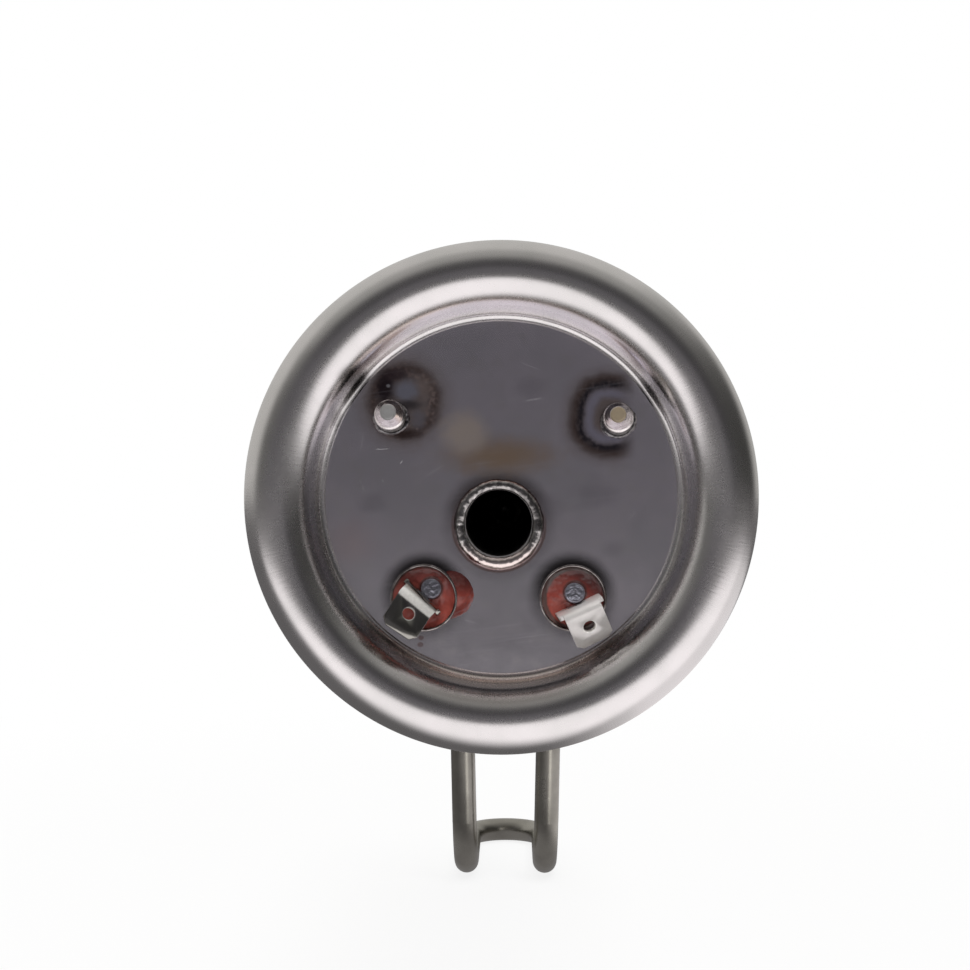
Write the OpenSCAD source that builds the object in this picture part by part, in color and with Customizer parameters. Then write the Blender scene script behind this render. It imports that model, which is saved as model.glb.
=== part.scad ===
// Immersion heating element on a round pressed flange, for a small storage water heater.
// X runs to the right as seen from the dry side, Y from the dry side into the tank, Z up.
// The origin is the flange's centre, on the plane where the rolled rim meets its gasket.

/* [Flange] */
// Outside diameter of the rolled rim
rim_d = 82; // [80:0.5:84]
// Thickness of the pressed sheet
sheet_t = 1.2; // [0.8:0.1:1.5]
// Radius at which the rolled rim reaches its crest
crest_r = 35.4; // [35.2:0.1:36]
// Radius of the roll inside the crest, on the dry side
inner_roll_r = 5; // [4.6:0.1:5.2]
// Radius of the flat disc
disc_r = 28.8; // [28.4:0.1:29]
// Depth of the flat disc below the crest
dish_depth = 10.5; // [9:0.5:14]
// Fillet between the dish wall and the flat disc
dish_fillet_r = 1; // [0.6:0.1:1]
// Height of the rim from its crest to the edge of its lip
rim_height = 8; // [7:0.5:9]
// Depth of the coined step round the flat disc
coin_step = 0.2; // [0.1:0.05:0.4]

/* [Thermostat pocket] */
// Outside diameter of the pocket tube
pocket_d = 12; // [10:0.5:12.5]
// Wall of the pocket tube
pocket_wall = 0.6; // [0.4:0.1:1]
// Place of the pocket on the disc, across
pocket_x = -0.35; // [-1:0.05:1]
// Place of the pocket on the disc, up
pocket_z = -4.2; // [-4.6:0.1:-2]
// How far the pocket tube stands out of the disc on the dry side
pocket_stand = 0.5; // [0.2:0.1:0.8]
// How far the pocket reaches into the tank from the disc
pocket_reach = 205; // [120:5:215]
// Radius of the weld bead's round section
bead_r = 1; // [0.7:0.1:1.2]
// How far the bead's ring is larger than the tube
bead_shift = 0.35; // [0.2:0.05:0.5]
// How far the bead hangs below the tube's middle
bead_sag = 0.35; // [0:0.05:0.5]

/* [Heating tube] */
// Outside diameter of the tube
sheath_d = 7.4; // [6.6:0.1:8]
// Wall of the tube
sheath_wall = 0.6; // [0.5:0.1:0.8]
// Distance between the two ends at the flange
end_spacing = 24; // [23:0.1:26]
// Sideways place of the hairpin's middle
hairpin_x = -0.4; // [-1:0.1:1]
// Height of the long run and of the two ends
run_z = -16.2; // [-18:0.1:-15.8]
// Distance from the flange's seat to the legs that hang down
leg_y = 241; // [200:1:300]
// Height of the foot
foot_z = -114.6; // [-140:0.2:-100]
// Distance between the two sides of the foot
foot_spacing = 24.3; // [23:0.1:26]
// Distance from the seat to the end of the foot, at the middle of the tube
foot_end_y = 302; // [290:1:320]
// Bend radius between the run and the legs
knee_r = 25; // [18:1:30]
// Bend radius between the legs and the foot
ankle_r = 15; // [12:1:20]
// How far each leg leans inward on its way down, in degrees
leg_lean = 1.3; // [0.2:0.1:2.4]

/* [Core and coil] */
// Wire diameter of the resistance coil
wire_d = 0.5; // [0.3:0.1:0.7]
// Length of each cold pin inside the tube
cold_length = 55; // [30:5:90]
// Length of pin that the coil is screwed on to
coil_grip = 8; // [4:1:12]

/* [Terminals] */
// Outside diameter of the end sleeves
sleeve_d = 10.8; // [10.4:0.1:11.2]
// Wall of the end sleeves
sleeve_wall = 0.4; // [0.4:0.1:0.8]
// How far the sleeves stand out of the disc on the dry side
sleeve_stand = 3.2; // [2:0.1:4]
// Length of the sleeve's wide end
sleeve_cup = 9; // [8:0.5:12]
// Length of the sleeve's narrow neck round the tube
sleeve_neck = 5; // [3:0.5:8]
// Depth of the silicone's surface below the sleeve's edge
seal_sink = 0.8; // [0.3:0.1:1]
// Bend radius of the pins inside the silicone
pin_bend_r = 4; // [3:0.5:6]
// Diameter of the cold pins
pin_d = 3.2; // [2.6:0.1:3.4]
// How far the pins stand past the sleeve's edge
pin_stand = 1.1; // [0.5:0.1:2]
// Leg of the weld round each sleeve, on the wet side
weld_leg = 0.9; // [0.5:0.1:1.5]
// Radius of the silicone that ran over the left sleeve
spill_r = 4.2; // [3:0.1:4.5]
// How far the middle of that silicone lies below the disc
spill_sink = 1.2; // [0.5:0.1:2]

/* [Tabs] */
// Width of the push-on blade
tab_w = 6.3; // [4.8, 6.3]
// Thickness of the blade
tab_t = 0.8; // [0.5, 0.8]
// Width of the foot that is welded to the pin
tab_foot_w = 7.7; // [6.6:0.1:7.8]
// How deep the root of that foot is sunk into the side of the pin
tab_sink = 0.25; // [0.1:0.05:0.5]
// How far that foot runs down the pin from the pin's end
tab_root = 3.4; // [2:0.1:4]
// Diameter of the hole in the blade
tab_hole_d = 2; // [1.5:0.1:2.2]
// Distance of that hole from the tip
tab_hole_in = 3.5; // [2.8:0.1:4]
// Length of the bevel at the tip
tip_bevel = 0.9; // [0.5:0.1:1.2]
// Thickness left at the tip
tip_t = 0.35; // [0.2:0.05:0.5]
// Size of the cut corners at the tip
tip_corner = 1; // [0.5:0.1:1.5]

/* [Studs] */
// Diameter of the welded studs
stud_d = 5; // [4:0.5:6]
// Height of the end of the stud's full thread above the disc
stud_thread = 4.2; // [3:0.2:8]
// Diameter of the stud's plain neck next to the disc
stud_neck_d = 4.4; // [3.6:0.1:4.6]
// Height of the end of that neck above the disc
stud_neck = 1; // [0.8:0.1:1.6]
// Length of the stud's tapered point
stud_point = 3.2; // [2:0.2:4]
// Diameter of the flat at the stud's tip
stud_tip_d = 2.3; // [1.5:0.1:3]
// Width of the weld flash round the foot of a stud
flash_w = 0.45; // [0.3:0.05:0.8]

/* [Hidden] */
$fn = 72;

// How far a straight length laps over a bend, and by how much one of the two is thinner on each face
lap = 0.1;
hair = 0.02;

// Sides of the part, as multipliers for places across it
LEFT = -1;
RIGHT = 1;

// Where each pin's end stands: across and up
PIN_END_LEFT = [-11.2, -14.65];
PIN_END_RIGHT = [11.9, -15.3];
// Each tab: turn outward from straight down, lean of its foot away from the pin, angle and inside
// radius of its fold, height of the fold past the pin's end, length and skew of its blade, and
// its shift to one side
TAB_LEFT = [46, 3, 76, 2, 2.8, 5.5, 12, 0.1];
TAB_RIGHT = [27, 11, 111, 0.3, 3, 5.6, 0, -0.3];
function tab_turn(tab) = tab[0];
function tab_lean(tab) = tab[1];
function fold_angle(tab) = tab[2];
function fold_r(tab) = tab[3];
function fold_height(tab) = tab[4];
function blade_length(tab) = tab[5];
function blade_skew(tab) = tab[6];
function tab_shift(tab) = tab[7];
// Where the spilt silicone lies: across and up
SPILL = [-8.8, -15.8];
// Each stud: place across and up, then its lean to the right and upward in degrees
STUD_LEFT = [-17.85, 12.85, 0, 5.5];
STUD_RIGHT = [19.05, 12.3, -4, 6.5];

// Levels and radii of the flange
crest_y = -sheet_t;
disc_y = crest_y + dish_depth;
wet_y = disc_y + sheet_t;
outer_roll_r = rim_d / 2 - crest_r;
fillet_y = disc_y - coin_step - dish_fillet_r;
roll_y = crest_y + inner_roll_r;

// From the middle of the fillet to the middle of the roll, and the wall's draft from the axis
wall_span = [crest_r - disc_r, fillet_y - roll_y];
wall_draft = acos((inner_roll_r + dish_fillet_r) / norm(wall_span))
    - atan2(wall_span[1], wall_span[0]);

// Radii of the tubes and rods
pocket_r = pocket_d / 2;
pocket_bore_r = pocket_r - pocket_wall;
sheath_r = sheath_d / 2;
core_r = sheath_r - sheath_wall;
pin_r = pin_d / 2;
coil_r = pin_r + wire_d;
sleeve_r = sleeve_d / 2;
cup_r = sleeve_r - sleeve_wall;
stud_r = stud_d / 2;
blade_t = tab_t - 2 * hair;
// Middle of a tab's sheet, from the middle of its pin
tab_x = pin_r - tab_sink + tab_t / 2;

// Levels of the terminals along Y
sleeve_edge_y = disc_y - sleeve_stand;
cup_end_y = sleeve_edge_y + sleeve_cup;
tube_end_y = cup_end_y - sleeve_wall;
seal_y = sleeve_edge_y + seal_sink;
pin_end_y = sleeve_edge_y - pin_stand;

// The hairpin's run: it turns a little about its leg to bring both ends to the flange's holes
foot_x = foot_spacing / 2;
bow_y = foot_end_y - foot_x;
run_total = leg_y - tube_end_y;
leg_height = run_z - foot_z;
run_turn = asin((foot_x + leg_height * tan(leg_lean) - end_spacing / 2) / run_total);
leg_rise = (leg_height - run_total * sin(run_turn) * sin(leg_lean)) / cos(leg_lean);
run_straight = run_total - knee_r;
coil_end = cold_length - coil_grip;

// Clearance for the brazing round the tube
braze_gap = 0.06;

// Offset of a pin's end from its tube, down and outward
function pin_offset(side) = let(end = side == LEFT ? PIN_END_LEFT : PIN_END_RIGHT)
    [run_z - end[1], side * (end[0] - hairpin_x) - end_spacing / 2];
function pin_heading(side) = atan2(pin_offset(side)[1], pin_offset(side)[0]);
function pin_reach() = tube_end_y - pin_end_y;
function corner(angle) = pin_bend_r * tan(angle / 2);
// The lean is found from a first guess that leaves out the bend's own length
function first_lean(side) = atan(norm(pin_offset(side)) / pin_reach());
function pin_lean(side) = atan(norm(pin_offset(side)) / (pin_reach() - corner(first_lean(side))));
function pin_straight(side) = (pin_reach() - corner(pin_lean(side))) / cos(pin_lean(side))
    - corner(pin_lean(side));

// Length of a tab's foot, so that the crest of its fold stands at its height
function foot_length(tab) = tab_root + fold_height(tab)
    - (fold_r(tab) + tab_t) * (fold_angle(tab) < 90 ? sin(fold_angle(tab)) : 1);

// Turns a shape drawn about Z so that it lies along Y, its own Z becoming depth into the tank
module about_y(x = 0, z = 0) {
    translate([x, 0, z]) rotate([-90, 0, 0]) children();
}

// Mirrors the right-hand side's shapes for the left
module on_side(side) {
    if (side == RIGHT) children();
    else mirror([1, 0, 0]) children();
}

module ring(r_out, r_in) {
    difference() {
        circle(r_out);
        if (r_in > 0) circle(r_in);
    }
}

// A quarter of a bent sheet's section: each side is +1 or -1
module quarter_ring(r_out, r_in, side_x, side_y) {
    intersection() {
        ring(r_out, r_in);
        translate([side_x > 0 ? 0 : -r_out, side_y > 0 ? 0 : -r_out]) square(r_out);
    }
}

function ray(length, angle) = length * [cos(angle), sin(angle)];

// A bent sheet's section between two directions less than half a turn apart
module bent_sheet(r_out, r_in, from, to) {
    intersection() {
        ring(r_out, r_in);
        polygon([
            [0, 0], ray(2 * r_out, from), ray(2 * r_out, (from + to) / 2), ray(2 * r_out, to)
        ]);
    }
}

// The pressed sheet's half section: radius across, depth into the tank upward
module flange_section() {
    wall_lap = ray(lap, wall_draft + 90);
    polygon([
        [0, disc_y], [disc_r - coin_step, disc_y], [disc_r, disc_y - coin_step],
        [disc_r, wet_y - coin_step], [disc_r - coin_step, wet_y], [0, wet_y]
    ]);
    translate([disc_r, fillet_y])
        bent_sheet(dish_fillet_r + sheet_t, dish_fillet_r, wall_draft, 90);
    polygon([
        [crest_r, roll_y] - ray(inner_roll_r - hair, wall_draft) - wall_lap,
        [crest_r, roll_y] - ray(inner_roll_r - sheet_t + hair, wall_draft) - wall_lap,
        [disc_r, fillet_y] + ray(dish_fillet_r + sheet_t - hair, wall_draft) + wall_lap,
        [disc_r, fillet_y] + ray(dish_fillet_r + hair, wall_draft) + wall_lap
    ]);
    translate([crest_r, roll_y])
        bent_sheet(inner_roll_r, inner_roll_r - sheet_t, 180 + wall_draft, 270);
    translate([crest_r, crest_y + outer_roll_r])
        quarter_ring(outer_roll_r, outer_roll_r - sheet_t, 1, -1);
    translate([rim_d / 2 - sheet_t, crest_y + outer_roll_r])
        square([sheet_t, rim_height - outer_roll_r]);
}

module flange_plate() {
    color("#8d898c") difference() {
        about_y() rotate_extrude() flange_section();
        about_y(pocket_x, pocket_z) cylinder(h = 2 * wet_y, r = pocket_r);
        for (side = [LEFT, RIGHT])
            about_y(hairpin_x + side * end_spacing / 2, run_z) cylinder(h = 2 * wet_y, r = sleeve_r);
    }
}

// Drawn tube whose tank end is closed by a dome
module thermostat_pocket() {
    color("#9a9698") about_y(pocket_x, pocket_z) rotate_extrude() {
        translate([pocket_bore_r, disc_y - pocket_stand])
            square([pocket_wall, pocket_reach + pocket_stand - pocket_r]);
        translate([0, disc_y + pocket_reach - pocket_r])
            quarter_ring(pocket_r, pocket_bore_r, 1, 1);
    }
}

// Bead melted over the pocket's edge, heavier on its lower side
module pocket_weld() {
    color("#b7aca6") difference() {
        about_y(pocket_x, pocket_z - bead_sag) translate([0, 0, disc_y])
            rotate_extrude() translate([pocket_r + bead_shift, 0]) circle(bead_r);
        about_y(pocket_x, pocket_z) cylinder(h = 2 * wet_y, r = pocket_bore_r);
        about_y(pocket_x, pocket_z) translate([0, 0, disc_y - pocket_stand])
            cylinder(h = 2 * wet_y, r = pocket_r);
        about_y(pocket_x, pocket_z) translate([0, 0, disc_y]) cylinder(h = wet_y, r = 2 * pocket_r);
    }
}

// Draws a straight length upward, lapping the bends at both its ends, then carries on from its end
module then_straight(length, r_out, r_in) {
    if (r_out > 0) translate([0, 0, -lap]) linear_extrude(length + 2 * lap) ring(r_out, r_in);
    translate([0, 0, length]) children();
}

// Draws a bend from upward toward X, its wall a hair thinner, then carries on from its end
module then_bend(bend_r, angle, r_out, r_in) {
    if (r_out > 0)
        translate([bend_r, 0, 0]) rotate([90, 0, 180])
            rotate_extrude(angle = angle) translate([bend_r, 0]) thinned_ring(r_out, r_in);
    translate([bend_r, 0, 0]) rotate([0, angle, 0]) translate([-bend_r, 0, 0]) children();
}

module thinned_ring(r_out, r_in) {
    ring(r_out - hair, r_in > 0 ? r_in + hair : 0);
}

// Walks one side of the hairpin from the foot's end to the long run, up which it carries its children.
// With no radius it draws nothing on the way.
module half_hairpin(r_out, r_in) {
    translate([foot_x, bow_y, foot_z]) rotate([90, 0, 0]) rotate([0, 0, 180])
        then_straight(bow_y - leg_y - ankle_r, r_out, r_in)
        rotate([0, 0, -90 - leg_lean])
        then_bend(ankle_r, 90, r_out, r_in)
        then_straight(leg_rise - ankle_r - knee_r, r_out, r_in)
        rotate([0, 0, 180 - run_turn])
        then_bend(knee_r, 90, r_out, r_in)
        children();
}

module hairpin(r_out, r_in) {
    translate([hairpin_x, 0, 0]) {
        translate([0, bow_y, foot_z]) rotate_extrude(angle = 180)
            translate([foot_x, 0]) thinned_ring(r_out, r_in);
        for (side = [LEFT, RIGHT])
            on_side(side) half_hairpin(r_out, r_in) children();
    }
}

// A straight length up the long run, from its bend to some way short of the tube's end
module run_length(r_out, r_in, short) {
    translate([0, 0, -lap]) linear_extrude(run_straight - short + lap) ring(r_out, r_in);
}

module at_tube_end(side) {
    translate([hairpin_x, 0, 0]) on_side(side) half_hairpin(0, 0)
        translate([0, 0, run_straight]) children();
}

module heating_sheath() {
    color("#5b5750") hairpin(sheath_r, core_r) run_length(sheath_r, core_r, 0);
}

// Packed powder: a sleeve round the coil and the pins, and the filling inside the coil
module magnesia_core() {
    color("#e9e6df") {
        hairpin(core_r, coil_r) rotate_extrude() polygon([
            [coil_r, -lap], [core_r, -lap], [core_r, run_straight], [pin_r, run_straight],
            [pin_r, run_straight - coil_end], [coil_r, run_straight - coil_end]
        ]);
        hairpin(pin_r, 0) run_length(pin_r, 0, cold_length);
    }
}

// The wound wire, drawn as the tube that its turns fill
module resistance_coil() {
    color("#8a8378") hairpin(coil_r, pin_r) run_length(coil_r, pin_r, coil_end);
}

// A pin leaves its tube straight and is bent aside in the silicone
module bent_pin(side) {
    at_tube_end(side) rotate([0, 0, pin_heading(side)]) {
        translate([0, 0, -cold_length]) cylinder(h = cold_length + lap, r = pin_r);
        then_bend(pin_bend_r, pin_lean(side), pin_r, 0)
            translate([0, 0, -lap]) cylinder(h = pin_straight(side) + lap, r = pin_r);
    }
}

module at_pin_end(side) {
    at_tube_end(side) rotate([0, 0, pin_heading(side)])
        then_bend(pin_bend_r, pin_lean(side), 0, 0)
        translate([0, 0, pin_straight(side)])
        rotate([0, 0, -pin_heading(side)]) children();
}

module cold_pin_left() {
    color("#6f7480") bent_pin(LEFT);
}

module cold_pin_right() {
    color("#6f7480") bent_pin(RIGHT);
}

// Wide cup on the dry side, narrow neck brazed round the tube on the wet side
module end_sleeve(side) {
    neck_r = sheath_r + braze_gap;
    color("#8f8b8d") about_y(hairpin_x + side * end_spacing / 2, run_z) rotate_extrude() polygon([
        [cup_r, sleeve_edge_y], [sleeve_r, sleeve_edge_y], [sleeve_r, cup_end_y],
        [neck_r + sleeve_wall, cup_end_y], [neck_r + sleeve_wall, cup_end_y + sleeve_neck],
        [neck_r, cup_end_y + sleeve_neck], [neck_r, tube_end_y], [cup_r, tube_end_y]
    ]);
}

module end_sleeve_left() {
    end_sleeve(LEFT);
}

module end_sleeve_right() {
    end_sleeve(RIGHT);
}

// Fillet of weld metal round a sleeve, on the wet face of the disc
module sleeve_weld(side) {
    color("#b7aca6") about_y(hairpin_x + side * end_spacing / 2, run_z) rotate_extrude()
        translate([sleeve_r, wet_y]) quarter_ring(weld_leg, 0, 1, 1);
}

module sleeve_weld_left() {
    sleeve_weld(LEFT);
}

module sleeve_weld_right() {
    sleeve_weld(RIGHT);
}

// Silicone filling the cup down to the tube's end, moulded round the pin and the tab's foot
module silicone_seal(side, tab) {
    color("#8c2f20") difference() {
        about_y(hairpin_x + side * end_spacing / 2, run_z) translate([0, 0, seal_y])
            cylinder(h = tube_end_y - braze_gap - seal_y, r = cup_r);
        bent_pin(side);
        at_pin_end(side) tab_foot(tab);
    }
}

module silicone_seal_left() {
    silicone_seal(LEFT, TAB_LEFT);
}

module silicone_seal_right() {
    silicone_seal(RIGHT, TAB_RIGHT);
}

// Silicone that ran over the left sleeve's edge and set on the disc
module silicone_spill() {
    color("#8c2f20") difference() {
        about_y(SPILL[0], SPILL[1]) translate([0, 0, disc_y + spill_sink]) sphere(spill_r);
        about_y(hairpin_x - end_spacing / 2, run_z) cylinder(h = 2 * wet_y, r = sleeve_r);
        translate([SPILL[0] - 2 * spill_r, disc_y, SPILL[1] - 2 * spill_r])
            cube([4 * spill_r, 2 * spill_r, 4 * spill_r]);
    }
}

// Stands a shape on the root of a tab's foot, upward being along the foot
module at_tab_root(tab) {
    rotate([0, 0, tab_turn(tab)]) translate([tab_x, tab_shift(tab), -tab_root])
        rotate([0, tab_lean(tab), 0]) children();
}

// Foot of a tab, its root sunk by welding into the side of the pin
module tab_foot(tab) {
    foot_t = tab_t + 2 * hair;
    difference() {
        at_tab_root(tab) translate([-foot_t / 2, -tab_foot_w / 2, 0])
            cube([foot_t, tab_foot_w, foot_length(tab) + lap]);
        translate([0, 0, -2 * tab_root]) cylinder(h = 2 * tab_root, r = pin_r);
    }
}

// Side view of the blade, length upward: a thin sheet with a bevelled tip
module blade_side(length) {
    polygon([
        [-blade_t / 2, -tab_w], [blade_t / 2, -tab_w], [blade_t / 2, length - tip_bevel],
        [tip_t / 2, length], [-tip_t / 2, length], [-blade_t / 2, length - tip_bevel]
    ]);
}

// Front view of the blade, length along X
module blade_front(length) {
    half = tab_w / 2;
    difference() {
        polygon([
            [-tab_w, -half], [length - tip_corner, -half], [length, tip_corner - half],
            [length, half - tip_corner], [length - tip_corner, half], [-tab_w, half]
        ]);
        translate([length - tab_hole_in, 0]) circle(tab_hole_d / 2);
    }
}

// The blade leans by the skew and begins a little inside the fold, which is a hair thicker
module blade(length, skew) {
    difference() {
        rotate([skew, 0, 0]) intersection() {
            rotate([90, 0, 0]) linear_extrude(2 * tab_w, center = true) blade_side(length);
            rotate([0, -90, 0]) linear_extrude(2 * tab_t, center = true) blade_front(length);
        }
        translate([-tab_w, -2 * tab_w, -lap - 4 * tab_w]) cube([2 * tab_w, 4 * tab_w, 4 * tab_w]);
    }
}

// Carries its children round a tab's fold to the start of the blade
module past_fold(tab) {
    middle_r = fold_r(tab) + tab_t / 2;
    translate([middle_r, 0, 0]) rotate([0, fold_angle(tab), 0]) translate([-middle_r, 0, 0])
        children();
}

module fold(tab) {
    middle_r = fold_r(tab) + tab_t / 2;
    fold_w = tab_w / cos(blade_skew(tab)) + 2 * lap;
    translate([middle_r, 0, 0]) rotate([90, 0, 180]) rotate_extrude(angle = fold_angle(tab))
        translate([middle_r, 0]) square([tab_t, fold_w], center = true);
}

// A strip that stands on the pin's side and is folded outward into a blade
module folded_tab(side, tab) {
    color("#c9c6c2") at_pin_end(side) {
        tab_foot(tab);
        at_tab_root(tab) translate([0, 0, foot_length(tab)]) {
            fold(tab);
            past_fold(tab) blade(blade_length(tab), blade_skew(tab));
        }
    }
}

module tab_left() {
    folded_tab(LEFT, TAB_LEFT);
}

module tab_right() {
    folded_tab(RIGHT, TAB_RIGHT);
}

// Places a shape on the disc, upward being out of the tank along the stud's lean
module at_stud(stud) {
    translate([stud[0], disc_y, stud[1]]) rotate([90 - stud[3], 0, stud[2]]) children();
}

// The disc and all that lies behind its dry face, for cutting things off flush with it
module behind_disc(stud) {
    translate([stud[0] - 2 * stud_d, disc_y, stud[1] - 2 * stud_d])
        cube([4 * stud_d, stud_d, 4 * stud_d]);
}

// Plain neck, full thread and tapered point, begun below the disc because the stud leans
module stud_bar() {
    neck_r = stud_neck_d / 2;
    rotate_extrude() polygon([
        [0, -stud_r], [neck_r, -stud_r], [neck_r, stud_neck], [stud_r, stud_neck],
        [stud_r, stud_thread], [stud_tip_d / 2, stud_thread + stud_point],
        [0, stud_thread + stud_point]
    ]);
}

module welded_stud(stud) {
    color("#a9a5a2") difference() {
        at_stud(stud) stud_bar();
        behind_disc(stud);
    }
}

module stud_left() {
    welded_stud(STUD_LEFT);
}

module stud_right() {
    welded_stud(STUD_RIGHT);
}

// Ring of weld flash squeezed out round the foot of a stud
module stud_weld(stud) {
    color("#b7aca6") difference() {
        at_stud(stud) rotate_extrude() translate([stud_r, 0]) circle(flash_w);
        at_stud(stud) stud_bar();
        behind_disc(stud);
    }
}

module stud_weld_left() {
    stud_weld(STUD_LEFT);
}

module stud_weld_right() {
    stud_weld(STUD_RIGHT);
}

flange_plate();
thermostat_pocket();
pocket_weld();
heating_sheath();
magnesia_core();
resistance_coil();
cold_pin_left();
cold_pin_right();
end_sleeve_left();
end_sleeve_right();
sleeve_weld_left();
sleeve_weld_right();
silicone_seal_left();
silicone_seal_right();
silicone_spill();
tab_left();
tab_right();
stud_left();
stud_right();
stud_weld_left();
stud_weld_right();
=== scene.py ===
import math

import bpy
from mathutils import Matrix, Vector, noise


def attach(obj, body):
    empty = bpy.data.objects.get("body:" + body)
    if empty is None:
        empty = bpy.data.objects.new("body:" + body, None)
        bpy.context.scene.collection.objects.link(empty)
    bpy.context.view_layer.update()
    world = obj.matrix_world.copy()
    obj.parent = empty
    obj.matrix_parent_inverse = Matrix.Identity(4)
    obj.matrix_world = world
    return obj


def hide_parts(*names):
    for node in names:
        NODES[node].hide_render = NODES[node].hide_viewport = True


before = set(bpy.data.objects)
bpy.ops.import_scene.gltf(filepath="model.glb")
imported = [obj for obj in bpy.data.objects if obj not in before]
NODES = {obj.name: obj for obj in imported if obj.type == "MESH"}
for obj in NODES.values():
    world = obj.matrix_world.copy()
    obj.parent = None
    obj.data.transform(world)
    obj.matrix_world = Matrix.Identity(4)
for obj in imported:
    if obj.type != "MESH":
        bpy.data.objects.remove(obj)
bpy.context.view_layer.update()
MM = 0.001
LEFT, RIGHT = -1, 1
SIDES = {LEFT: "left", RIGHT: "right"}

# Sizes of the flange, in millimetres, repeated from the CAD source as all those below
RIM_R, RIM_HEIGHT, SHEET = 41.0, 8.0, 1.2
CREST_R, INNER_ROLL, FILLET, STEP = 35.4, 5.0, 1.0, 0.2
CREST_Y, DISC_Y, WET_Y, DISC_R = -1.2, 9.3, 10.5, 28.8
OUTER_ROLL = RIM_R - CREST_R

# Pocket: its middle across and up, its radius, its bore and how far it stands out of the disc
POCKET_X, POCKET_Z, POCKET_R, POCKET_BORE, POCKET_STAND = -0.35, -4.2, 6.0, 5.4, 0.5
BEAD_SAG = 0.35

# Heating tube
TUBE_R, END_HALF, HAIRPIN_X, RUN_Z = 3.7, 12.0, -0.4, -16.2
LEG_Y, FOOT_Z, FOOT_HALF, FOOT_END_Y = 241.0, -114.6, 12.15, 302.0
KNEE_R, ANKLE_R, LEG_LEAN = 25.0, 15.0, 1.3

# Terminals
SLEEVE_R, SLEEVE_WALL, SLEEVE_EDGE, CUP_LENGTH, NECK_LENGTH = 5.4, 0.4, 6.1, 9.0, 5.0
CUP_R, CUP_END, TUBE_END, SEAL_Y = 5.0, 15.1, 14.7, 6.9
PIN_R, PIN_BEND_R, PIN_END_Y = 1.6, 4.0, 5.0
PIN_ENDS = {LEFT: (-11.2, -14.65), RIGHT: (11.9, -15.3)}
SPILL_X, SPILL_Z, SPILL_R, SPILL_SINK = -8.8, -15.8, 4.2, 1.2

# Tabs: turn, lean, fold angle, fold radius, fold height, blade length, skew and shift
TABS = {LEFT: (46, 3, 76, 2.0, 2.8, 5.5, 12, 0.1), RIGHT: (27, 11, 111, 0.3, 3.0, 5.6, 0, -0.3)}
TAB_W, TAB_T, FOOT_W, TAB_SINK, TAB_ROOT = 6.3, 0.8, 7.7, 0.25, 3.4
HOLE_R, HOLE_IN, TIP_BEVEL, TIP_T, TIP_CORNER = 1.0, 3.5, 0.9, 0.35, 1.0

# Studs: place across and up, lean to the right and upward in degrees
STUDS = {LEFT: (-17.85, 12.85, 0.0, 5.5), RIGHT: (19.05, 12.3, -4.0, 6.5)}
STUD_R, STUD_THREAD, STUD_POINT, STUD_TIP_R = 2.5, 4.2, 3.2, 1.15
NECK_R, NECK_TOP, FLASH_R = 2.2, 1.0, 0.45


# Helpers that model as by hand

def active(obj):
    """Makes obj the only selected object."""
    bpy.ops.object.select_all(action="DESELECT")
    obj.select_set(True)
    bpy.context.view_layer.objects.active = obj


def edit(obj, *steps):
    """Runs edit-mode steps on the whole of obj."""
    active(obj)
    bpy.ops.object.mode_set(mode="EDIT")
    bpy.ops.mesh.select_all(action="SELECT")
    for step in steps:
        step()
    bpy.ops.object.mode_set(mode="OBJECT")


def close_up():
    """Merges doubled points and turns all faces outwards."""
    bpy.ops.mesh.select_all(action="SELECT")
    bpy.ops.mesh.remove_doubles(threshold=0.002 * MM)
    bpy.ops.mesh.normals_make_consistent(inside=False)


def move(obj, place):
    """Puts each point of obj where place says, both in millimetres."""
    for vertex in obj.data.vertices:
        vertex.co = Vector(place(*(vertex.co / MM))) * MM


def outline(name, points):
    """A closed loop of edges through points in the XY plane, in millimetres."""
    count = len(points)
    mesh = bpy.data.meshes.new(name)
    mesh.from_pydata([(x * MM, y * MM, 0) for x, y in points], [(i, (i + 1) % count) for i in range(count)], [])
    obj = bpy.data.objects.new(name, mesh)
    bpy.context.scene.collection.objects.link(obj)
    return obj


def lathe(name, points, steps, x=0.0, z=0.0):
    """Spins a section of (radius, depth) about the Y axis through x and z."""
    obj = outline(name, points)
    edit(obj,
         lambda: bpy.ops.mesh.spin(steps=steps, angle=2 * math.pi, center=(0, 0, 0), axis=(0, 1, 0)),
         close_up)
    obj.data.transform(Matrix.Translation(Vector((x, 0, z)) * MM))
    return obj


def arc(cx, cy, r, start, end, count):
    """Points of an arc from start to end in degrees, both ends included."""
    turns = [math.radians(start + (end - start) * i / count) for i in range(count + 1)]
    return [(cx + r * math.cos(t), cy + r * math.sin(t)) for t in turns]


def apply(obj, kind, **settings):
    """Adds a modifier and applies it."""
    active(obj)
    modifier = obj.modifiers.new(kind, kind)
    for key, value in settings.items():
        setattr(modifier, key, value)
    bpy.ops.object.modifier_apply(modifier=modifier.name)


def cut(obj, radius, depth, location, rotation=(math.pi / 2, 0, 0), sides=96):
    """Takes a round bar out of obj, its sizes and place in millimetres."""
    bpy.ops.mesh.primitive_cylinder_add(vertices=sides, radius=radius * MM, depth=depth * MM,
                                        location=Vector(location) * MM, rotation=rotation)
    cutter = bpy.context.object
    apply(obj, "BOOLEAN", object=cutter, operation="DIFFERENCE", solver="EXACT")
    bpy.data.objects.remove(cutter)


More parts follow.
